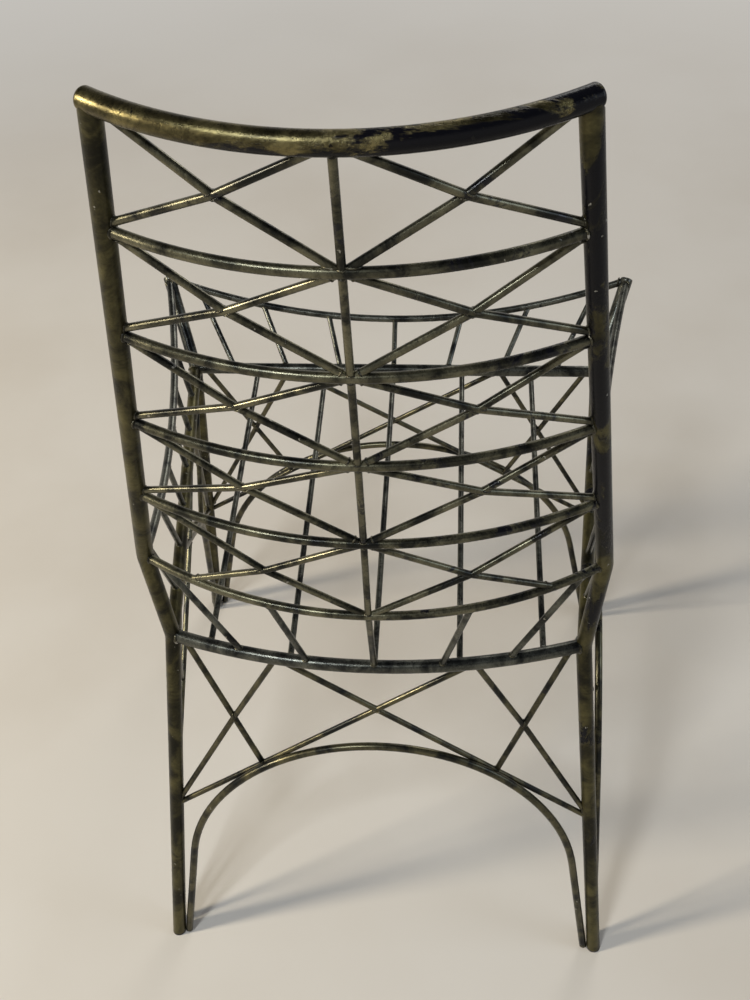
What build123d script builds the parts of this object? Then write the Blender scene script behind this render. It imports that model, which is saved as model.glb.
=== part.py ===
from build123d import *
import math
import os

# Garden chair of welded tube and rod, facing -Y, even about X = 0, standing on Z = 0.
# Left and right are a sitter's, so left is +X. All sizes are in millimetres.

# Stock
tube_diameter = 14.0
tube_wall = 1.5
seat_rail_diameter = 12.0
corner_post_diameter = 13.0
cross_rail_diameter = 7.5
rod_diameter = 5.5

# Heights of the centre lines
top_height = 938.0
rear_rim_height = 515.0
front_rim_height = 510.0
rear_seat_height = 410.0
front_seat_height = 437.0
apron_joint_height = 196.0

# Half widths between the centre lines
top_half_width = 132.0
rear_rim_half_width = 189.0
rear_seat_half_width = 182.0
rear_foot_half_width = 224.0
front_seat_half_width = 218.0
front_foot_half_width = 257.0
front_rim_half_width = 248.0

# Distances front to back, from the rear seat corners or the front seat rail
seat_depth = 353.0
back_rake = 66.0
rim_setback = 1.0
rear_foot_reach = 81.0
front_foot_reach = 38.0
front_rim_reach = 65.0

# Bows of the bent rails
back_bow = 38.0
rear_rim_bow = 54.0
rear_seat_bow = 30.0
front_rim_dip = 40.0
front_rim_draw = 17.0
side_rim_dip = 22.0
side_rim_draw = 10.0

# Back panels
bay_count = 5
bow_growth = 4.0
brace_foot_rise = 3.0
brace_bulge = 6.0
brace_bend_radius = 30.0
last_brace_landing = 0.76

# Places of struts and slats, measured along the rails from their middles
slat_pitch = 74.0
slat_reach = 2
front_strut_rail_pitch = 58.0
front_strut_rim_pitch = 73.0
front_strut_reach = 3
rear_strut_rail_places = (58.0, 117.0)
rear_strut_rim_places = (82.0, 180.0)
side_strut_count = 6
side_strut_lean = 48.0

# Aprons between the legs
apron_corner_inset = 11.0
rear_apron_vee = 87.0
front_apron_vee = 114.0
side_apron_vee = 88.0
short_brace_landing = 0.32
arch_drop = 47.0

# Bends, fits and ends
upright_bend_radius = 35.0
rod_setback = 1.0
touch_clearance = 0.05
plug_head = 3.0
plug_spigot = 16.0
plug_clearance = 0.1
plug_edge = 1.0
rail_overhang = 3.0
cap_thickness = 3.0
cap_edge = 2.8
cap_spigot = 10.0
corner_post_rise = 2.0
corner_post_edge = 2.0

tube_radius = tube_diameter / 2
bore_radius = tube_radius - tube_wall
lean = math.atan2(back_rake - rim_setback, top_height - rear_rim_height)
rear_reach = max(back_rake + back_bow * math.cos(lean), rear_foot_reach) + tube_radius
front_reach = seat_depth + max(front_rim_reach + corner_post_diameter / 2, front_foot_reach + tube_radius)
rear_y = (front_reach - rear_reach) / 2
front_y = rear_y - seat_depth

# Unit direction square out of the back, to the rear
back_out = Vector(0, math.cos(lean), -math.sin(lean))


# Corner points of the frame, for side +1 on the left and -1 on the right
def top_corner(side):
    return Vector(side * top_half_width, rear_y + back_rake, top_height)


def rear_rim_corner(side):
    return Vector(side * rear_rim_half_width, rear_y + rim_setback, rear_rim_height)


def rear_seat_corner(side):
    return Vector(side * rear_seat_half_width, rear_y, rear_seat_height)


def rear_foot(side):
    return Vector(side * rear_foot_half_width, rear_y + rear_foot_reach, 0)


def front_seat_corner(side):
    return Vector(side * front_seat_half_width, front_y, front_seat_height)


def front_foot(side):
    return Vector(side * front_foot_half_width, front_y - front_foot_reach, 0)


def front_rim_corner(side):
    return Vector(side * front_rim_half_width, front_y - front_rim_reach, front_rim_height)


def between(a, b, share):
    return a + (b - a) * share


def toward(a, b, distance):
    return a + (b - a).normalized() * distance


def middle(a, b):
    return between(a, b, 0.5)


# Point on the centre line a to b at a given height
def at_height(a, b, height):
    return between(a, b, (height - a.Z) / (b.Z - a.Z))


# Round bar between two points
def bar(a, b, diameter):
    run = b - a
    seat = Plane(origin=a, z_dir=run)
    return seat * Cylinder(diameter / 2, run.length, align=(Align.CENTER, Align.CENTER, Align.MIN))


# Round bar bent along a path
def bent_bar(path, diameter):
    return sweep(Plane(origin=path @ 0, z_dir=path % 0) * Circle(diameter / 2), path=path)


# Piece with its end mitred at a joint, where it leaves along one direction and its neighbour along another
def mitred(piece, joint, leaving, neighbour):
    cut = Plane(origin=joint, z_dir=leaving.normalized() - neighbour.normalized())
    return split(piece, bisect_by=cut, keep=Keep.TOP)


# Whether the boxes round two pieces meet
def boxes_meet(piece, mate):
    one = piece.bounding_box(optimal=False)
    two = mate.bounding_box(optimal=False)
    clear_x = one.min.X > two.max.X or two.min.X > one.max.X
    clear_y = one.min.Y > two.max.Y or two.min.Y > one.max.Y
    clear_z = one.min.Z > two.max.Z or two.min.Z > one.max.Z
    return not (clear_x or clear_y or clear_z)


# Piece coped to fit against the pieces it is welded to
def coped(piece, mates):
    for mate in mates:
        if boxes_meet(piece, mate):
            piece = piece - mate
    return piece


# Rod that stops just short of the centre lines it meets, coped to its mates
def welded_rod(a, b, mates, diameter=rod_diameter):
    rod = bar(toward(a, b, rod_setback), toward(b, a, rod_setback), diameter)
    return coped(rod, mates)


# Point on a path at a distance from its middle
def along(path, distance):
    return path @ (0.5 + distance / path.length)


# Share of the way down the back at a rail, from the top rail to the rear rim
def rail_share(number):
    return number / bay_count


def rail_bow(number):
    return back_bow + (rear_rim_bow - back_bow) * rail_share(number) ** bow_growth


# Where a cross rail meets the post, and its middle where the rib meets it
def rail_end(number, side):
    return between(top_corner(side), rear_rim_corner(side), rail_share(number))


def rail_middle(number):
    return middle(rail_end(number, 1), rail_end(number, -1)) + back_out * rail_bow(number)


def rail_path(number):
    return ThreePointArc(rail_end(number, 1), rail_middle(number), rail_end(number, -1))


# Centre lines of the bent rails
rear_seat_middle = Vector(0, rear_y + rear_seat_bow, rear_seat_height)
rear_seat_path = ThreePointArc(rear_seat_corner(1), rear_seat_middle, rear_seat_corner(-1))
front_seat_path = Line(front_seat_corner(1), front_seat_corner(-1))
front_rim_sag = Vector(0, front_rim_draw, -front_rim_dip)
front_rim_middle = middle(front_rim_corner(1), front_rim_corner(-1)) + front_rim_sag
front_rim_path = ThreePointArc(front_rim_corner(1), front_rim_middle, front_rim_corner(-1))


def side_seat_path(side):
    return Line(front_seat_corner(side), rear_seat_corner(side))


def side_rim_path(side):
    sag = Vector(-side * side_rim_draw, 0, -side_rim_dip)
    through = middle(front_rim_corner(side), rear_rim_corner(side)) + sag
    return ThreePointArc(front_rim_corner(side), through, rear_rim_corner(side))


# Top rail: a bent tube whose ends reach past the posts
top_radius = (top_half_width**2 + back_bow**2) / (2 * back_bow)
top_centre = rail_middle(0) - back_out * top_radius
top_sweep = math.asin(top_half_width / top_radius) + rail_overhang / top_radius


# Point of the top rail's centre line at an angle from its middle
def top_point(angle):
    return top_centre + Vector(top_radius * math.sin(angle), 0, 0) + back_out * top_radius * math.cos(angle)


top_path = ThreePointArc(top_point(top_sweep), top_point(0), top_point(-top_sweep))
top_rail_core = bent_bar(top_path, tube_diameter)
top_rail = top_rail_core - bent_bar(top_path, 2 * bore_radius)


# Direction in which the top rail leaves at one end
def end_direction(side):
    return Vector(side * math.cos(top_sweep), 0, 0) - back_out * math.sin(top_sweep)


# Rounded cap in one end of the top rail
def top_rail_cap(side):
    head = Cylinder(tube_radius, cap_thickness, align=(Align.CENTER, Align.CENTER, Align.MIN))
    head = fillet(head.edges().sort_by(Axis.Z)[-1], min(cap_edge, cap_thickness - touch_clearance))
    head = Plane(origin=top_point(side * top_sweep), z_dir=end_direction(side)) * head
    inside = top_sweep - cap_spigot / top_radius
    turns = [side * top_sweep, side * (top_sweep + inside) / 2, side * inside]
    path = ThreePointArc(*[top_point(turn) for turn in turns])
    return head + bent_bar(path, 2 * (bore_radius - plug_clearance))


# Bar in line with the cap, longer than it, to which an upright is coped
def past_end(side):
    end = top_point(side * top_sweep)
    return bar(end, end + end_direction(side) * tube_diameter, tube_diameter)


top_rail_caps = [top_rail_cap(side) for side in (1, -1)]


# Leg or arch cut off level, to stand on its plug or just clear of the floor
def standing(piece):
    return split(piece, bisect_by=Plane.XY.offset(plug_head), keep=Keep.TOP)


def below_floor(a, foot):
    return toward(foot, a, -tube_diameter)


# Rear upright: one tube from the top rail to the floor, bent at the rim and at the seat
def rear_path(side):
    head = toward(top_corner(side), rear_rim_corner(side), tube_wall)
    toe = below_floor(rear_seat_corner(side), rear_foot(side))
    points = (head, rear_rim_corner(side), rear_seat_corner(side), toe)
    return FilletPolyline(*points, radius=upright_bend_radius)


# Front leg, mitred to the corner post above it. It starts a diameter past the joint.
def front_leg_bar(side, diameter):
    corner = front_seat_corner(side)
    start = toward(corner, front_foot(side), -diameter)
    leg = bar(start, below_floor(corner, front_foot(side)), diameter)
    return mitred(leg, corner, front_foot(side) - corner, front_rim_corner(side) - corner)


# Bar along a front corner post, mitred to the leg below it. It ends at a given rise over the rims.
def front_post_bar(side, rise):
    corner = front_seat_corner(side)
    head = toward(front_rim_corner(side), corner, -rise)
    start = toward(corner, head, -corner_post_diameter)
    post = bar(start, head, corner_post_diameter)
    return mitred(post, corner, head - corner, front_foot(side) - corner)


def front_corner_post(side):
    post = front_post_bar(side, corner_post_rise)
    return fillet(post.edges().sort_by(Axis.Z)[-1], corner_post_edge)


rear_cores = {}
front_cores = {}
rear_uprights = {}
front_legs = {}
front_corner_posts = {}
for side in (1, -1):
    rear_core = bent_bar(rear_path(side), tube_diameter)
    rear_tube = standing(rear_core - bent_bar(rear_path(side), 2 * bore_radius))
    rear_cores[side] = [rear_core]
    rear_uprights[side] = coped(rear_tube, [top_rail_core, past_end(side)])
    front_leg = front_leg_bar(side, tube_diameter)
    front_legs[side] = standing(front_leg - front_leg_bar(side, 2 * bore_radius))
    front_corner_posts[side] = front_corner_post(side)
    front_cores[side] = [front_post_bar(side, corner_post_diameter), front_leg]


# Plug in the open end of a leg, with its flat head on the floor
def foot_plug(seat_corner, foot):
    tip = at_height(seat_corner, foot, plug_head + plug_spigot)
    head = bar(below_floor(seat_corner, foot), tip, tube_diameter)
    head = split(head, bisect_by=Plane.XY, keep=Keep.TOP)
    head = split(head, bisect_by=Plane.XY.offset(plug_head), keep=Keep.BOTTOM)
    head = fillet(head.edges().sort_by(Axis.Z)[0], min(plug_edge, plug_head - touch_clearance))
    spigot = bar(foot, tip, 2 * (bore_radius - plug_clearance))
    spigot = split(spigot, bisect_by=Plane.XY.offset(plug_head), keep=Keep.TOP)
    return head + spigot


foot_plugs = []
for side in (1, -1):
    foot_plugs.append(foot_plug(rear_seat_corner(side), rear_foot(side)))
    foot_plugs.append(foot_plug(front_seat_corner(side), front_foot(side)))

all_rear_cores = rear_cores[1] + rear_cores[-1]
all_front_cores = front_cores[1] + front_cores[-1]

# Seat frame
rear_seat_rail = coped(bent_bar(rear_seat_path, seat_rail_diameter), all_rear_cores)
front_seat_rail = welded_rod(
    front_seat_corner(1), front_seat_corner(-1), all_front_cores, seat_rail_diameter)
side_seat_rails = {}
for side in (1, -1):
    mates = rear_cores[side] + front_cores[side] + [rear_seat_rail, front_seat_rail]
    side_seat_rails[side] = welded_rod(
        front_seat_corner(side), rear_seat_corner(side), mates, seat_rail_diameter)

# Cross rails of the back, the last of which is the rear rim of the seat
back_rails = {}
for number in range(1, bay_count + 1):
    back_rails[number] = coped(bent_bar(rail_path(number), cross_rail_diameter), all_rear_cores)
rear_rim = back_rails[bay_count]
rear_rim_path = rail_path(bay_count)

# Rims of the seat
front_rim = coped(bent_bar(front_rim_path, cross_rail_diameter), all_front_cores)
side_rims = {}
for side in (1, -1):
    mates = rear_cores[side] + front_cores[side] + [rear_rim, front_rim]
    side_rims[side] = coped(bent_bar(side_rim_path(side), cross_rail_diameter), mates)


# What stands at the upper and lower edge of a bay
def bay_rail(number):
    return top_rail_core if number == 0 else back_rails[number]


# Rib: short rods from rail to rail down the middle of the back, then to the seat rail
back_rib = []
for number in range(bay_count):
    mates = [bay_rail(number), bay_rail(number + 1)]
    back_rib.append(welded_rod(rail_middle(number), rail_middle(number + 1), mates))
back_rib.append(welded_rod(rail_middle(bay_count), rear_seat_middle, [rear_rim, rear_seat_rail]))


# Crossed braces of half a bay: one bent rod from the rib down to the post, and one in two lengths that
# butts against it from both sides
def back_brace(bay, side):
    upper = bay
    lower = bay + 1
    landing = last_brace_landing if lower == bay_count else 1.0
    outer_top = rail_end(upper, side)
    inner_top = rail_middle(upper)
    inner_low = rail_middle(lower)
    outer_low = toward(rail_end(lower, side), rail_end(upper, side), brace_foot_rise)
    if landing < 1:
        outer_low = rail_path(lower) @ (0.5 - side * landing / 2)
    share = 1 / (1 + landing)
    crossing = middle(between(outer_top, inner_low, share), between(inner_top, outer_low, share))
    crossing = crossing + back_out * brace_bulge
    mates = rear_cores[side] + [bay_rail(upper), bay_rail(lower), back_rib[bay]]
    start = toward(inner_top, crossing, rod_setback)
    end = toward(outer_low, crossing, rod_setback)
    bend = FilletPolyline(start, crossing, end, radius=brace_bend_radius)
    through = coped(bent_bar(bend, rod_diameter), mates)
    halves = [welded_rod(crossing, tip, mates + [through]) for tip in (outer_top, inner_low)]
    return [through] + halves


# Struts between the rims and the seat rails, and the slats that carry a cushion
rear_struts = []
for rail_place, rim_place in zip(rear_strut_rail_places, rear_strut_rim_places):
    for side in (1, -1):
        low = along(rear_seat_path, -side * rail_place)
        high = along(rear_rim_path, -side * rim_place)
        rear_struts.append(welded_rod(low, high, [rear_seat_rail, rear_rim] + rear_cores[side]))

front_struts = []
for place in range(-front_strut_reach, front_strut_reach + 1):
    low = along(front_seat_path, place * front_strut_rail_pitch)
    high = along(front_rim_path, place * front_strut_rim_pitch)
    front_struts.append(welded_rod(low, high, [front_seat_rail, front_rim] + all_front_cores))

side_struts = {}
for side in (1, -1):
    mates = [side_seat_rails[side], side_rims[side]] + rear_cores[side] + front_cores[side]
    side_struts[side] = []
    for place in range(1, side_strut_count + 1):
        share = place / (side_strut_count + 1)
        low = side_seat_path(side) @ share
        high = side_rim_path(side) @ (share + side_strut_lean / side_rim_path(side).length)
        side_struts[side].append(welded_rod(low, high, mates))

seat_slats = []
for place in range(-slat_reach, slat_reach + 1):
    rear_end = along(rear_seat_path, place * slat_pitch)
    front_end = along(front_seat_path, place * slat_pitch)
    seat_slats.append(welded_rod(rear_end, front_end, [rear_seat_rail, front_seat_rail]))


# Nearest point of the line a to b to another line c to d
def nearest_on(a, b, c, d):
    run = b - a
    other = d - c
    normal = run.cross(other)
    share = (c - a).cross(other).dot(normal) / normal.dot(normal)
    return between(a, b, share)


# Arch that stands against two legs and touches the two long braces from outside. It is drawn in its own
# plane: two straight feet, each tangent to the round top.
def arch_path(plane, crossing, joint_a, joint_b, foot_a, foot_b):
    flat = [plane.to_local_coords(point) for point in (crossing, joint_a, joint_b, foot_a, foot_b)]
    peak, end_a, end_b, toe_a, toe_b = [Vector(point.X, point.Y, 0) for point in flat]
    run_a = (end_a - peak).normalized()
    run_b = (end_b - peak).normalized()
    down = (run_a + run_b).normalized()
    sine = math.sin(math.acos(down.dot(run_a)))
    radius = arch_drop * sine / (1 - sine)
    centre = peak + down * (arch_drop + radius)
    apex = centre - down * radius
    touches = [tangent_point(centre, radius, toe, apex) for toe in (toe_a, toe_b)]
    edges = [Line(toe_a, touches[0]), ThreePointArc(touches[0], apex, touches[1]), Line(touches[1], toe_b)]
    return plane * Wire([edge.edge() for edge in edges])


# Direction square to the plane of three points, on the outward side
def outward_normal(a, b, c, outward):
    normal = (b - a).cross(c - a).normalized()
    return normal if normal.dot(outward) > 0 else -normal


# Where a line from an outside point touches a circle, on the side nearer to a given point
def tangent_point(centre, radius, outside, near):
    reach = outside - centre
    turn = math.degrees(math.acos(radius / reach.length))
    ends = [centre + reach.rotate(Axis.Z, angle).normalized() * radius for angle in (turn, -turn)]
    return min(ends, key=lambda point: (point - near).length)


# Braces and arch between two legs. Each leg is its seat corner and foot, the rail is the path between the
# corners from leg a to leg b, and outward is roughly the way the side faces.
def apron(leg_a, leg_b, rail, vee, outward, mates):
    joint_a = at_height(*leg_a, apron_joint_height)
    joint_b = at_height(*leg_b, apron_joint_height)
    vee_a = along(rail, -vee)
    vee_b = along(rail, vee)
    crossing = nearest_on(joint_a, vee_b, joint_b, vee_a)
    touch_gap = (rod_diameter + cross_rail_diameter) / 2 + touch_clearance
    foot_gap = (tube_diameter + cross_rail_diameter) / 2 + touch_clearance
    foot_a = toward(leg_a[1], leg_b[1], foot_gap)
    foot_b = toward(leg_b[1], leg_a[1], foot_gap)
    landing_a = between(joint_a, vee_b, short_brace_landing)
    landing_b = between(joint_b, vee_a, short_brace_landing)
    landing = middle(landing_a, landing_b)
    lifted = landing + outward_normal(foot_a, foot_b, landing, outward) * touch_gap
    normal = outward_normal(foot_a, foot_b, lifted, outward)
    plane = Plane(origin=middle(foot_a, foot_b), x_dir=foot_b - foot_a, z_dir=normal)
    path = arch_path(plane, crossing, joint_a, joint_b, foot_a, foot_b)
    arch = standing(bent_bar(path, cross_rail_diameter))
    long_brace = welded_rod(joint_a, vee_b, mates + [arch])
    crossed = [long_brace]
    for end in (joint_b, vee_a):
        crossed.append(welded_rod(crossing, end, mates + [arch, long_brace]))
    rods = list(crossed)
    sides = ((joint_a, landing_a, vee_a, -1), (joint_b, landing_b, vee_b, 1))
    for joint, low, high, sign in sides:
        corner = along(rail, sign * (rail.length / 2 - apron_corner_inset))
        short = welded_rod(corner, low, mates + [arch] + crossed)
        meeting = nearest_on(corner, low, high, joint)
        rods.append(short)
        rods.append(welded_rod(meeting, high, mates + crossed + [short]))
        rods.append(welded_rod(meeting, joint, mates + crossed + [short]))
    return rods, arch


def rear_leg_line(side):
    return rear_seat_corner(side), rear_foot(side)


def front_leg_line(side):
    return front_seat_corner(side), front_foot(side)


rear_mates = all_rear_cores + [rear_seat_rail]
front_mates = all_front_cores + [front_seat_rail]
rear_apron, rear_arch = apron(
    rear_leg_line(1), rear_leg_line(-1), rear_seat_path, rear_apron_vee, Vector(0, 1, 0), rear_mates)
front_apron, front_arch = apron(
    front_leg_line(1), front_leg_line(-1), front_seat_path, front_apron_vee, Vector(0, -1, 0), front_mates)
side_aprons = {}
side_arches = {}
for side in (1, -1):
    mates = rear_cores[side] + front_cores[side] + [side_seat_rails[side]]
    outward = Vector(side, 0, 0)
    side_aprons[side], side_arches[side] = apron(
        front_leg_line(side), rear_leg_line(side), side_seat_path(side), side_apron_vee, outward, mates)

# Named pieces
nodes = {
    "top_rail": [top_rail],
    "top_rail_caps": top_rail_caps,
    "rear_seat_rail": [rear_seat_rail],
    "front_seat_rail": [front_seat_rail],
    "rear_rim": [rear_rim],
    "front_rim": [front_rim],
    "back_rib": back_rib,
    "rear_struts": rear_struts,
    "front_struts": front_struts,
    "seat_slats": seat_slats,
    "rear_apron_braces": rear_apron,
    "front_apron_braces": front_apron,
    "rear_arch": [rear_arch],
    "front_arch": [front_arch],
    "foot_plugs": foot_plugs,
}
for number in range(1, bay_count):
    nodes[f"back_rail_{number}"] = [back_rails[number]]
for side, word in ((1, "left"), (-1, "right")):
    nodes[f"rear_upright_{word}"] = [rear_uprights[side]]
    nodes[f"front_leg_{word}"] = [front_legs[side]]
    nodes[f"front_corner_post_{word}"] = [front_corner_posts[side]]
    nodes[f"side_seat_rail_{word}"] = [side_seat_rails[side]]
    nodes[f"side_rim_{word}"] = [side_rims[side]]
    nodes[f"side_struts_{word}"] = side_struts[side]
    nodes[f"side_apron_braces_{word}"] = side_aprons[side]
    nodes[f"side_arch_{word}"] = [side_arches[side]]
    for bay in range(bay_count):
        nodes[f"back_brace_{bay + 1}_{word}"] = back_brace(bay, side)

os.makedirs("parts", exist_ok=True)
for name, pieces in nodes.items():
    solids = [solid for piece in pieces for solid in piece.solids()]
    export_step(solids[0] if len(solids) == 1 else Compound(solids), f"parts/{name}.step")
    print(f"{name}: {len(solids)} solids, {sum(solid.volume for solid in solids):.0f} cubic mm")
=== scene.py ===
import math

import bmesh
import bpy
import numpy as np
from mathutils import Matrix, Vector


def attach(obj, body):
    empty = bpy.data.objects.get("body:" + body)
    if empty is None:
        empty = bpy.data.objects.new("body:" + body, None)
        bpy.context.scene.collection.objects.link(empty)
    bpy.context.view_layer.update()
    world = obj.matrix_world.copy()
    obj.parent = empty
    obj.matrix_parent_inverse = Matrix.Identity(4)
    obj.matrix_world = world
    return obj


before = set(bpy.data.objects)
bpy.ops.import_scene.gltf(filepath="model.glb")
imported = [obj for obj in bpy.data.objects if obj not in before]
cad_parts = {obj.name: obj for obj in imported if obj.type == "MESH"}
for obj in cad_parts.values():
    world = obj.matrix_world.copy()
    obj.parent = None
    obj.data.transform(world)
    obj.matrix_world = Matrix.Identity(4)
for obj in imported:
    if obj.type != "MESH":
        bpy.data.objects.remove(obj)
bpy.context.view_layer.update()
print("frame loaded:", len(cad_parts), "nodes")


# small helpers for objects and node trees

def addObject(name, data):
    obj = bpy.data.objects.new(name, data)
    bpy.context.scene.collection.objects.link(obj)
    return obj


def addNode(tree, kind, inputs=None, **settings):
    node = tree.nodes.new(kind)
    for key, value in settings.items():
        setattr(node, key, value)
    for key, value in (inputs or {}).items():
        if isinstance(value, bpy.types.NodeSocket):
            tree.links.new(value, node.inputs[key])
        else:
            node.inputs[key].default_value = value
    return node


def addMath(tree, operation, first, second):
    return addNode(tree, "ShaderNodeMath", {0: first, 1: second}, operation=operation).outputs[0]


def addVector(tree, operation, inputs):
    return addNode(tree, "ShaderNodeVectorMath", inputs, operation=operation).outputs


def addNoise(tree, place, scale, shape):
    return addNode(tree, "ShaderNodeTexNoise", {"Vector": place, "Scale": scale, **shape}).outputs


def smoothBand(tree, value, low, high):  # 0 below low, 1 above high
    made = addNode(tree, "ShaderNodeMapRange", {"Value": value, "From Min": low, "From Max": high},
                   interpolation_type="SMOOTHSTEP")
    return made.outputs["Result"]


def mixColour(tree, factor, first, second, blend="MIX"):
    inputs = {0: factor, 6: first, 7: second}  # the Mix node's own places for colours
    return addNode(tree, "ShaderNodeMix", inputs, data_type="RGBA", blend_type=blend).outputs[2]


def opaque(colour):
    return (*colour, 1)


def newGroup(name, inputs, outputs):
    tree = bpy.data.node_groups.new(name, "ShaderNodeTree")
    kinds = {"vector": "NodeSocketVector", "colour": "NodeSocketColor", "value": "NodeSocketFloat"}
    for label, kind in inputs:
        tree.interface.new_socket(name=label, in_out="INPUT", socket_type=kinds[kind])
    for label, kind in outputs:
        tree.interface.new_socket(name=label, in_out="OUTPUT", socket_type=kinds[kind])
    return tree, tree.nodes.new("NodeGroupInput").outputs, tree.nodes.new("NodeGroupOutput").inputs


noiseMiddle = 0.5

# old lacquer: olive bronze over darker metal, in soft patches with fine grain
lacquerShape = {
    "patchNoise": {"Detail": 7.0, "Roughness": 0.62, "Distortion": 0.7}, "patchFrom": 0.36, "patchTo": 0.66,
    "grainNoise": {"Detail": 5.0, "Roughness": 0.7}, "grainFiner": 16.0, "grainRough": 0.35,
    "patchHeight": 0.6, "grainHeight": 0.4}


def makeLacquerGroup(shape):
    tree, given, result = newGroup(
        "agedLacquer",
        [("Vector", "vector"), ("Pale", "colour"), ("Deep", "colour"), ("Patch Scale", "value"),
         ("Grain", "value")],
        [("Color", "colour"), ("Roughness Shift", "value"), ("Height", "value")])
    patches = addNoise(tree, given["Vector"], given["Patch Scale"], shape["patchNoise"])["Fac"]
    share = smoothBand(tree, patches, shape["patchFrom"], shape["patchTo"])
    body = mixColour(tree, share, given["Deep"], given["Pale"])
    grainScale = addMath(tree, "MULTIPLY", given["Patch Scale"], shape["grainFiner"])
    grain = addNoise(tree, given["Vector"], grainScale, shape["grainNoise"])["Fac"]
    grainSwing = addMath(tree, "SUBTRACT", grain, noiseMiddle)
    bright = addMath(tree, "ADD", addMath(tree, "MULTIPLY", grainSwing, given["Grain"]), 1.0)
    shade = addNode(tree, "ShaderNodeCombineColor", {0: bright, 1: bright, 2: bright}).outputs[0]
    tree.links.new(mixColour(tree, 1.0, body, shade, "MULTIPLY"), result["Color"])
    tree.links.new(addMath(tree, "MULTIPLY", grainSwing, shape["grainRough"]), result["Roughness Shift"])
    patchHeight = addMath(tree, "MULTIPLY", patches, shape["patchHeight"])
    grainHeight = addMath(tree, "MULTIPLY", grain, shape["grainHeight"])
    tree.links.new(addMath(tree, "ADD", patchHeight, grainHeight), result["Height"])
    return tree


# ragged remains of an older black coat, drawn out along the tube; the lean thickens them towards one side and
# Off Top keeps them off upward faces, which is painted shade: darker on the side away from the key lamp and
# on undersides
blackShape = {"noise": {"Detail": 9.0, "Roughness": 0.68, "Distortion": 0.6}, "edge": 0.07}


def makePatchGroup(shape):
    tree, given, result = newGroup(
        "darkPatches",
        [("Vector", "vector"), ("Stretch", "vector"), ("Facing", "vector"), ("Scale", "value"),
         ("Threshold", "value"), ("Lean", "vector"), ("Off Top", "value")],
        [("Mask", "value")])
    drawn = addVector(tree, "MULTIPLY", {0: given["Vector"], 1: given["Stretch"]})[0]
    coarse = addNoise(tree, drawn, given["Scale"], shape["noise"])["Fac"]
    # painted shade: the lean adds a slope along the object, so the black thickens on the side away from the
    # key lamp (on the posts also higher up)
    shadeLean = addVector(tree, "DOT_PRODUCT", {0: given["Vector"], 1: given["Lean"]})["Value"]
    coatAndShade = addMath(tree, "ADD", coarse, shadeLean)
    # painted shade: upward faces need more noise before they turn black, so undersides come out darker than
    # tops
    upward = addNode(tree, "ShaderNodeSeparateXYZ", {0: given["Facing"]}).outputs["Z"]
    start = addMath(tree, "ADD", given["Threshold"], addMath(tree, "MULTIPLY", upward, given["Off Top"]))
    stop = addMath(tree, "ADD", start, shape["edge"])
    tree.links.new(smoothBand(tree, coatAndShade, start, stop), result["Mask"])
    return tree


# small pits and chips with stirred edges
chipShape = {"stirScale": 420.0, "stirNoise": {"Detail": 3.0}, "stirReach": 0.006}


def makeChipGroup(shape):
    tree, given, result = newGroup(
        "pitsAndChips",
        [("Vector", "vector"), ("Scale", "value"), ("Reach", "value"), ("Share", "value")],
        [("Mask", "value")])
    stir = addNoise(tree, given["Vector"], shape["stirScale"], shape["stirNoise"])["Color"]
    shift = addVector(tree, "SUBTRACT", {0: stir, 1: (noiseMiddle, noiseMiddle, noiseMiddle)})[0]
    small = addVector(tree, "SCALE", {0: shift, "Scale": shape["stirReach"]})[0]
    moved = addVector(tree, "ADD", {0: given["Vector"], 1: small})[0]
    cells = addNode(tree, "ShaderNodeTexVoronoi", {"Vector": moved, "Scale": given["Scale"]}).outputs
    near = addMath(tree, "LESS_THAN", cells["Distance"], given["Reach"])
    lot = addNode(tree, "ShaderNodeSeparateColor", {0: cells["Color"]}).outputs[0]
    chosen = addMath(tree, "LESS_THAN", lot, given["Share"])
    tree.links.new(addMath(tree, "MULTIPLY", near, chosen), result["Mask"])
    return tree


lacquerGroup = makeLacquerGroup(lacquerShape)
patchGroup = makePatchGroup(blackShape)
chipGroup = makeChipGroup(chipShape)
blackRise = 0.35  # relief of the black remains and of the chips
chipDepth = 0.8


def newMaterial(name):
    material = bpy.data.materials.new(name)
    material.use_nodes = True
    return material, material.node_tree


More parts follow.
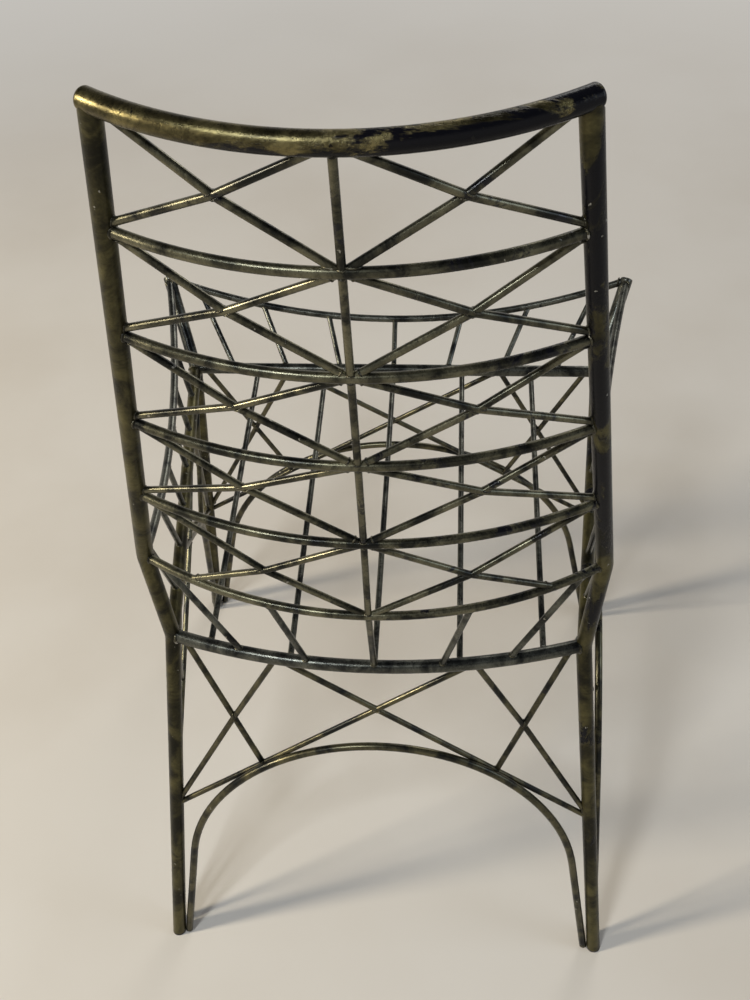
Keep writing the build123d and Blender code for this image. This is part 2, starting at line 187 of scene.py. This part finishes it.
def makeFinish(name, look):
    material, tree = newMaterial(name)
    tree.nodes.clear()
    place = addNode(tree, "ShaderNodeTexCoord").outputs["Object"]
    facing = addNode(tree, "ShaderNodeNewGeometry").outputs["Normal"]
    lacquer = addNode(tree, "ShaderNodeGroup", node_tree=lacquerGroup, inputs={
        "Vector": place, "Pale": opaque(look["pale"]), "Deep": opaque(look["deep"]),
        "Patch Scale": look["patchScale"], "Grain": look["grain"]}).outputs
    # the black mask is partly a real old coat and partly painted shade, through its lean and Off Top
    black = addNode(tree, "ShaderNodeGroup", node_tree=patchGroup, inputs={
        "Vector": place, "Facing": facing, "Stretch": look["blackStretch"], "Scale": look["blackScale"],
        "Threshold": look["blackFrom"], "Lean": look["paintedShadeLean"],
        "Off Top": look["paintedUndersideShade"]}).outputs["Mask"]
    chip = addNode(tree, "ShaderNodeGroup", node_tree=chipGroup, inputs={
        "Vector": place, "Scale": look["chipScale"], "Reach": look["chipReach"],
        "Share": look["chipShare"]}).outputs["Mask"]
    worn = mixColour(tree, black, lacquer["Color"], opaque(look["black"]))
    colour = mixColour(tree, chip, worn, opaque(look["bare"]))
    rough = addMath(tree, "ADD", lacquer["Roughness Shift"], look["roughness"])
    rough = addMath(tree, "SUBTRACT", rough, addMath(tree, "MULTIPLY", black, look["blackGloss"]))
    metal = addMath(tree, "MULTIPLY", addMath(tree, "SUBTRACT", 1.0, black), look["metallic"])
    raised = addMath(tree, "ADD", lacquer["Height"], addMath(tree, "MULTIPLY", black, blackRise))
    height = addMath(tree, "SUBTRACT", raised, addMath(tree, "MULTIPLY", chip, chipDepth))
    bump = addNode(tree, "ShaderNodeBump", {
        "Strength": look["bump"], "Distance": look["bumpDepth"], "Height": height}).outputs["Normal"]
    shader = addNode(tree, "ShaderNodeBsdfPrincipled", {
        "Base Color": colour, "Roughness": rough, "Normal": bump, "Metallic": metal,
        "Specular IOR Level": look["specular"], "Coat Weight": look["coat"],
        "Coat Roughness": look["coatRoughness"]})
    addNode(tree, "ShaderNodeOutputMaterial", {"Surface": shader.outputs["BSDF"]})
    return material


# finishes: colours are linear, scales are per metre
postLook = {
    "pale": (0.098, 0.086, 0.036), "deep": (0.014, 0.013, 0.008), "patchScale": 26.0, "grain": 1.0,
    "black": (0.004, 0.004, 0.006), "blackScale": 22.0, "blackFrom": 0.86, "blackStretch": (1.0, 1.0, 0.4),
    # painted shade: the lean thickens the black towards -X, away from the key lamp, and higher up the posts
    "paintedShadeLean": (-1.3, 0.0, 0.3), "paintedUndersideShade": 0.0, "blackGloss": 0.14,
    "bare": (0.30, 0.29, 0.25), "chipScale": 210.0, "chipReach": 0.20, "chipShare": 0.04,
    "roughness": 0.36, "metallic": 0.62, "specular": 0.12, "coat": 0.05, "coatRoughness": 0.18,
    "bump": 0.5, "bumpDepth": 0.0009}
topRailLook = dict(
    postLook, pale=(0.22, 0.185, 0.082), deep=(0.032, 0.027, 0.013), bare=(0.012, 0.011, 0.010),
    # partly a real black coat, partly painted shade: the lean thickens it towards -X, away from the key lamp,
    # and upward faces keep less of it than the undersides
    blackScale=26.0, blackFrom=0.45, blackStretch=(0.4, 1.0, 1.0), paintedShadeLean=(-1.25, 0.0, 0.0),
    paintedUndersideShade=0.12, metallic=0.9, roughness=0.30, chipShare=0.14)
rodLook = dict(
    postLook, pale=(0.150, 0.140, 0.090), deep=(0.013, 0.0135, 0.0115), patchScale=34.0, grain=0.9,
    # painted shade: the lean thickens the black a little towards -X, away from the key lamp
    blackScale=30.0, blackFrom=0.58, blackStretch=(1.0, 1.0, 1.0), paintedShadeLean=(-0.35, 0.0, 0.0),
    metallic=0.85, roughness=0.30, specular=0.22, coat=0.1, chipShare=0.02, bump=0.18)
seatLook = dict(rodLook, pale=(0.130, 0.131, 0.108), deep=(0.014, 0.015, 0.0145), blackFrom=0.64)
legLook = dict(
    postLook, pale=(0.098, 0.086, 0.034), deep=(0.013, 0.012, 0.0075), blackFrom=0.61,
    # painted shade: the lean thickens the black a little towards -X, away from the key lamp
    paintedShadeLean=(-0.35, 0.0, 0.0))
apronLook = dict(seatLook, pale=(0.115, 0.104, 0.060), roughness=0.32)
weldLook = dict(
    rodLook, pale=(0.10, 0.092, 0.062), deep=(0.022, 0.021, 0.017), bare=(0.36, 0.35, 0.32),
    patchScale=90.0, blackFrom=0.62, paintedShadeLean=(0.0, 0.0, 0.0), bump=0.6,
    chipScale=170.0, chipReach=0.42, chipShare=0.1)

postFinish = makeFinish("postLacquer", postLook)
topRailFinish = makeFinish("topRailLacquer", topRailLook)
rodFinish = makeFinish("backRodLacquer", rodLook)
seatFinish = makeFinish("seatRodLacquer", seatLook)
legFinish = makeFinish("legLacquer", legLook)
apronFinish = makeFinish("apronRodLacquer", apronLook)
weldFinish = makeFinish("weldMetal", weldLook)

# black foot plugs with floor dust
plugLook = {
    "colour": (0.012, 0.012, 0.012), "dust": (0.06, 0.052, 0.042), "dustFrom": 0.45, "dustTo": 0.75,
    "scale": 220.0, "noise": {"Detail": 6.0}, "roughness": 0.62, "bump": 0.3, "bumpDepth": 0.0004}


def makePlugFinish(look):
    material, tree = newMaterial("plugRubber")
    tree.nodes.clear()
    place = addNode(tree, "ShaderNodeTexCoord").outputs["Object"]
    noise = addNoise(tree, place, look["scale"], look["noise"])["Fac"]
    dusty = smoothBand(tree, noise, look["dustFrom"], look["dustTo"])
    colour = mixColour(tree, dusty, opaque(look["colour"]), opaque(look["dust"]))
    bump = addNode(tree, "ShaderNodeBump", {
        "Strength": look["bump"], "Distance": look["bumpDepth"], "Height": noise}).outputs["Normal"]
    shader = addNode(tree, "ShaderNodeBsdfPrincipled", {
        "Base Color": colour, "Roughness": look["roughness"], "Normal": bump})
    addNode(tree, "ShaderNodeOutputMaterial", {"Surface": shader.outputs["BSDF"]})
    return material


plugFinish = makePlugFinish(plugLook)

# the first start that fits a node's name gives its finish
finishByStart = [
    ("top_rail", topRailFinish),
    ("rear_upright", postFinish),
    # the side seat rails take the warmer leg lacquer instead of the seat lacquer: painted warm light from the
    # key lamp
    (("front_leg", "side_seat_rail"), legFinish),
    (("back_", "rear_rim"), rodFinish),
    ("foot_plugs", plugFinish),
    (("rear_apron", "front_apron", "side_apron"), apronFinish),
    (("rear_arch", "front_arch", "side_arch"), apronFinish),
    ("", seatFinish)]
for name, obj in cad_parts.items():
    finish = next(material for start, material in finishByStart if name.startswith(start))
    for slot in obj.material_slots:
        slot.material = finish
print("finishes set")


# how a weld ring is fitted to the end of a bar
ringFit = {"mergeGap": 1e-6, "mostOfBar": 0.45, "fewestPoints": 4, "facing": 0.5, "widest": 1.8}


# loose bars of a node: arrays of merged vertex places, one for each bar
def looseBars(obj):
    mesh = bmesh.new()
    mesh.from_mesh(obj.data)
    bmesh.ops.remove_doubles(mesh, verts=mesh.verts, dist=ringFit["mergeGap"])
    mesh.verts.ensure_lookup_table()
    seen = set()
    bars = []
    for start in mesh.verts:
        if start.index in seen:
            continue
        seen.add(start.index)
        waiting = [start]
        places = []
        while waiting:
            vert = waiting.pop()
            places.append(vert.co[:])
            for edge in vert.link_edges:
                other = edge.other_vert(vert)
                if other.index not in seen:
                    seen.add(other.index)
                    waiting.append(other)
        bars.append(np.array(places))
    mesh.free()
    return bars


# rings of the coped ends of a bar: centre, turn and half sizes of each
def endRings(bar, reach, radius):
    spread = bar - bar.mean(axis=0)
    axis = np.linalg.svd(spread, full_matrices=False)[2][0]
    along = spread @ axis
    depth = min(reach, ringFit["mostOfBar"] * (along.max() - along.min()))
    rings = []
    for sign in (1, -1):
        loop = bar[along * sign > (along * sign).max() - depth]
        if len(loop) < ringFit["fewestPoints"]:
            continue
        turns = np.linalg.svd(loop - loop.mean(axis=0), full_matrices=False)[2]
        normal = turns[2] if abs(turns[2] @ axis) > ringFit["facing"] else axis
        major = turns[0] - normal * (turns[0] @ normal)
        major = major / np.linalg.norm(major)
        minor = np.cross(normal, major)
        basis = np.array((major, minor, normal))
        places = loop @ basis.T
        low, high = places.min(axis=0), places.max(axis=0)
        centre = (low + high) / 2 @ basis
        half = np.clip((high - low)[:2] / 2, radius, ringFit["widest"] * radius)
        rings.append((centre, Matrix(basis).transposed().to_euler(), (half[0], half[1], radius)))
    return rings


# weld beads: lumpy rings that follow the coped ends, made into one mesh
rodWeldLook = {"beadRatio": 0.27, "lumpSize": 300.0, "lumpDepth": 0.0010, "ringSteps": 14, "beadSides": 6}
tubeWeldLook = {"beadRatio": 0.22, "lumpSize": 260.0, "lumpDepth": 0.0016, "ringSteps": 28, "beadSides": 6}
lumpNoise = {"Detail": 2.0}
lumpMiddle = 0.45  # noise above this swells the bead


def makeWeldTree():
    tree = bpy.data.node_groups.new("weldBeads", "GeometryNodeTree")
    face = tree.interface
    face.new_socket(name="Geometry", in_out="INPUT", socket_type="NodeSocketGeometry")
    for label in ("Bead Ratio", "Lump Size", "Lump Depth"):
        face.new_socket(name=label, in_out="INPUT", socket_type="NodeSocketFloat")
    for label in ("Ring Steps", "Bead Sides"):
        face.new_socket(name=label, in_out="INPUT", socket_type="NodeSocketInt")
    face.new_socket(name="Material", in_out="INPUT", socket_type="NodeSocketMaterial")
    face.new_socket(name="Geometry", in_out="OUTPUT", socket_type="NodeSocketGeometry")
    given = tree.nodes.new("NodeGroupInput").outputs
    circle = "GeometryNodeCurvePrimitiveCircle"
    ring = addNode(tree, circle, {"Resolution": given["Ring Steps"], "Radius": 1.0})
    section = addNode(tree, circle, {"Resolution": given["Bead Sides"], "Radius": given["Bead Ratio"]})
    bead = addNode(tree, "GeometryNodeCurveToMesh", {
        "Curve": ring.outputs["Curve"], "Profile Curve": section.outputs["Curve"]})
    measure = "GeometryNodeInputNamedAttribute"
    turn = addNode(tree, measure, {"Name": "beadTurn"}, data_type="FLOAT_VECTOR")
    size = addNode(tree, measure, {"Name": "beadSize"}, data_type="FLOAT_VECTOR")
    rotation = addNode(tree, "FunctionNodeEulerToRotation", {0: turn.outputs[0]})
    placed = addNode(tree, "GeometryNodeInstanceOnPoints", {
        "Points": given["Geometry"], "Instance": bead.outputs["Mesh"], "Rotation": rotation.outputs[0],
        "Scale": size.outputs[0]})
    whole = addNode(tree, "GeometryNodeRealizeInstances", {"Geometry": placed.outputs["Instances"]})
    where = tree.nodes.new("GeometryNodeInputPosition").outputs[0]
    outward = tree.nodes.new("GeometryNodeInputNormal").outputs[0]
    noise = addNoise(tree, where, given["Lump Size"], lumpNoise)["Fac"]
    lump = addMath(tree, "MULTIPLY", addMath(tree, "SUBTRACT", noise, lumpMiddle), given["Lump Depth"])
    push = addVector(tree, "SCALE", {0: outward, "Scale": lump})[0]
    moved = addNode(tree, "GeometryNodeSetPosition", {"Geometry": whole.outputs[0], "Offset": push})
    smooth = addNode(tree, "GeometryNodeSetShadeSmooth", {"Geometry": moved.outputs[0]})
    dressed = addNode(tree, "GeometryNodeSetMaterial", {
        "Geometry": smooth.outputs[0], "Material": given["Material"]})
    addNode(tree, "NodeGroupOutput", {"Geometry": dressed.outputs[0]})
    return tree


weldTree = makeWeldTree()


def makeWelds(name, rings, look):
    points = bpy.data.meshes.new(name)
    points.from_pydata([tuple(centre) for centre, turn, size in rings], [], [])
    turns = points.attributes.new("beadTurn", "FLOAT_VECTOR", "POINT")
    sizes = points.attributes.new("beadSize", "FLOAT_VECTOR", "POINT")
    turns.data.foreach_set("vector", [v for centre, turn, size in rings for v in turn])
    sizes.data.foreach_set("vector", [v for centre, turn, size in rings for v in size])
    obj = addObject(name, points)
    modifier = obj.modifiers.new("beads", "NODES")
    modifier.node_group = weldTree
    values = {"Bead Ratio": look["beadRatio"], "Lump Size": look["lumpSize"], "Lump Depth": look["lumpDepth"],
              "Ring Steps": look["ringSteps"], "Bead Sides": look["beadSides"], "Material": weldFinish}
    for item in weldTree.interface.items_tree:
        if item.in_out == "INPUT" and item.name in values:
            modifier[item.identifier] = values[item.name]
    graph = bpy.context.evaluated_depsgraph_get()
    made = bpy.data.meshes.new_from_object(obj.evaluated_get(graph), depsgraph=graph)
    obj.modifiers.clear()
    obj.data = made
    tidy = bmesh.new()
    tidy.from_mesh(made)
    bmesh.ops.recalc_face_normals(tidy, faces=tidy.faces)
    tidy.to_mesh(made)
    tidy.free()
    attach(obj, "root")


# welded ends: half thickness of the bar, and how far from its tip a coped end reaches
rodEnds = {"radius": 0.00275, "reach": 0.02}
railEnds = {"radius": 0.00375, "reach": 0.0055}  # cross rails and rims
seatRailEnds = {"radius": 0.006, "reach": 0.011}
rodWords = ("back_rib", "back_brace", "struts", "apron_braces", "seat_slats")
railWords = ("back_rail", "_rim")
seatRailWords = ("seat_rail",)


def ringsOf(words, ends):
    names = [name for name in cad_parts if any(word in name for word in words)]
    bars = [bar for name in names for bar in looseBars(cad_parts[name])]
    return [ring for bar in bars for ring in endRings(bar, ends["reach"], ends["radius"])]


rodRings = ringsOf(rodWords, rodEnds) + ringsOf(railWords, railEnds)
tubeRings = ringsOf(seatRailWords, seatRailEnds)
makeWelds("rod_welds", rodRings, rodWeldLook)
makeWelds("tube_welds", tubeRings, tubeWeldLook)
print("welds made:", len(rodRings), "on rods,", len(tubeRings), "on tubes")


# pale floor that runs out into a pale backdrop
backdropColour = (0.555, 0.535, 0.50)
floorLook = {
    "half": 40.0, "colour": (0.70, 0.66, 0.60), "stain": (0.63, 0.58, 0.51), "scale": 1.6,
    "noise": {"Detail": 8.0}, "stainFrom": 0.35, "stainTo": 0.7, "fadeFrom": 1.0, "fadeTo": 3.0,
    "roughness": 0.8}


def seenDirectly(tree):  # 1 for rays from the camera, mirrored rays and rays through glass
    path = addNode(tree, "ShaderNodeLightPath").outputs
    mirrored = addMath(tree, "MAXIMUM", path["Is Glossy Ray"], path["Is Transmission Ray"])
    return addMath(tree, "MAXIMUM", path["Is Camera Ray"], mirrored)


def makeFloor(look):
    mesh = bpy.data.meshes.new("floor")
    half = look["half"]
    corners = [(-half, -half, 0), (half, -half, 0), (half, half, 0), (-half, half, 0)]
    mesh.from_pydata(corners, [], [(0, 1, 2, 3)])
    floor = addObject("floor", mesh)
    material, tree = newMaterial("paleFloor")
    shader = tree.nodes["Principled BSDF"]
    place = addNode(tree, "ShaderNodeTexCoord").outputs["Object"]
    noise = addNoise(tree, place, look["scale"], look["noise"])["Fac"]
    stained = smoothBand(tree, noise, look["stainFrom"], look["stainTo"])
    colour = mixColour(tree, stained, opaque(look["colour"]), opaque(look["stain"]))
    tree.links.new(colour, shader.inputs["Base Color"])
    shader.inputs["Roughness"].default_value = look["roughness"]
    away = addVector(tree, "LENGTH", {0: place})["Value"]
    distant = smoothBand(tree, away, look["fadeFrom"], look["fadeTo"])
    fade = addMath(tree, "MULTIPLY", distant, seenDirectly(tree))
    far = addNode(tree, "ShaderNodeEmission", {"Color": opaque(backdropColour)})
    mixed = addNode(tree, "ShaderNodeMixShader", {0: fade, 1: shader.outputs[0], 2: far.outputs[0]})
    tree.links.new(mixed.outputs[0], tree.nodes["Material Output"].inputs["Surface"])
    mesh.materials.append(material)


makeFloor(floorLook)
print("floor laid")


# camera at the photograph's place: degrees, pixels and metres
cameraLook = {
    "place": (-0.062, 0.797, 1.204), "pitch": 44.07, "yaw": 5.12, "roll": 2.62, "focal": 1147.0,
    "tallPixels": 1000.0, "sensor": 36.0, "nearest": 0.05}


def makeCamera(look):
    data = bpy.data.cameras.new("photoCamera")
    data.sensor_width = look["sensor"]
    data.lens = data.sensor_width * look["focal"] / look["tallPixels"]
    data.clip_start = look["nearest"]
    camera = addObject("photoCamera", data)
    pitch, yaw, roll = [math.radians(look[key]) for key in ("pitch", "yaw", "roll")]
    ahead = Vector((math.sin(yaw) * math.cos(pitch), -math.cos(yaw) * math.cos(pitch), -math.sin(pitch)))
    level = ahead.cross(Vector((0, 0, 1))).normalized()
    down = ahead.cross(level)
    right = level * math.cos(roll) + down * math.sin(roll)
    below = down * math.cos(roll) - level * math.sin(roll)
    matrix = Matrix((right, -below, -ahead)).transposed().to_4x4()
    matrix.translation = look["place"]
    camera.matrix_world = matrix
    bpy.context.scene.camera = camera


makeCamera(cameraLook)


# soft studio light: a warm key from the left, a cooler one overhead, a cool fill and a plain one in front
lampLook = {
    "key": {"place": (3.4, 1.0, 2.1), "aim": (0, 0, 0.45), "size": 0.6, "power": 122.0,
            "colour": (1.0, 0.90, 0.72)},
    "ceiling": {"place": (1.1, 2.0, 3.4), "aim": (0, 0, 0.5), "size": 0.6, "power": 52.0,
                "colour": (0.90, 0.95, 1.0)},
    "fill": {"place": (-2.2, 0.4, 1.6), "aim": (0, 0, 0.5), "size": 1.2, "power": 12.0,
             "colour": (0.72, 0.84, 1.0)},
    "front": {"place": (-0.9, -2.8, 2.4), "aim": (0, 0, 0.4), "size": 1.5, "power": 24.0,
              "colour": (1.0, 0.98, 0.95)}}


def makeLamp(name, look):
    data = bpy.data.lights.new(name, "AREA")
    data.shape = "DISK"
    data.size = look["size"]
    data.energy = look["power"]
    data.color = look["colour"]
    lamp = addObject(name, data)
    lamp.location = look["place"]
    aim = Vector(look["aim"]) - Vector(look["place"])
    lamp.rotation_euler = aim.to_track_quat("-Z", "Y").to_euler()


for name, look in lampLook.items():
    makeLamp(name, look)


# surroundings: faint light from low to high, and what is seen of them, pale with a dark overhead
worldLook = {
    "low": (0.24, 0.24, 0.25), "high": (0.80, 0.82, 0.86), "lowTo": -0.1, "highFrom": 0.8, "strength": 0.15,
    "overhead": (0.05, 0.054, 0.062), "paleTo": 0.22, "darkFrom": 0.62}


def makeWorld(look):
    world = bpy.data.worlds.new("studio")
    bpy.context.scene.world = world
    world.use_nodes = True
    tree = world.node_tree
    way = addNode(tree, "ShaderNodeTexCoord").outputs["Generated"]
    rise = addNode(tree, "ShaderNodeSeparateXYZ", {0: way}).outputs["Z"]
    bright = smoothBand(tree, rise, look["lowTo"], look["highFrom"])
    light = tree.nodes["Background"]
    tree.links.new(mixColour(tree, bright, opaque(look["low"]), opaque(look["high"])), light.inputs["Color"])
    light.inputs["Strength"].default_value = look["strength"]
    dark = smoothBand(tree, rise, look["paleTo"], look["darkFrom"])
    shown = mixColour(tree, dark, opaque(backdropColour), opaque(look["overhead"]))
    seen = addNode(tree, "ShaderNodeBackground", {"Color": shown})
    chosen = addNode(tree, "ShaderNodeMixShader", {
        0: seenDirectly(tree), 1: light.outputs[0], 2: seen.outputs[0]})
    tree.links.new(chosen.outputs[0], tree.nodes["World Output"].inputs["Surface"])


makeWorld(worldLook)
bpy.context.scene.view_settings.view_transform = "Standard"
print("camera and light set")
